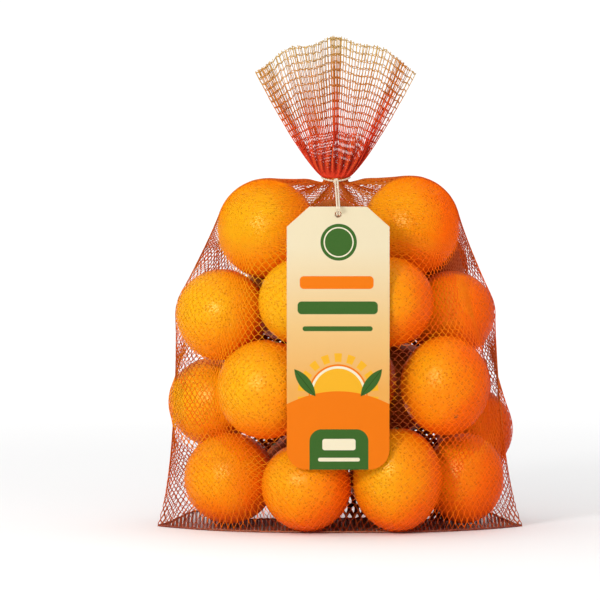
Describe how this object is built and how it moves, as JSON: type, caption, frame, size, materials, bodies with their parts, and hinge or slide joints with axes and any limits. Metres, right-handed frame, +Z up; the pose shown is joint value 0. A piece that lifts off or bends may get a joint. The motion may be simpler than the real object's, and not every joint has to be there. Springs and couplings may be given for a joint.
{
  "type": "net of oranges",
  "caption": "Upright knitted net bag packed with whole oranges, tied at the neck with string that carries a long card tag.",
  "frame": {"origin": "middle of the bag's flat base, on the surface that it stands on", "axes": "+Z up to the top of the fan above the neck, -Y to the front, where the card hangs, +X to the right seen from the front"},
  "size_m": [0.302, 0.1692, 0.4043],
  "materials": {
    "net": "knitted plastic thread over orange peel",
    "string": "twisted cotton",
    "card": "printed matt card"
  },
  "bodies": {
    "root": {"net_bag": "net", "tie_string": "string", "card_tag": "card"}
  },
  "joints": []
}
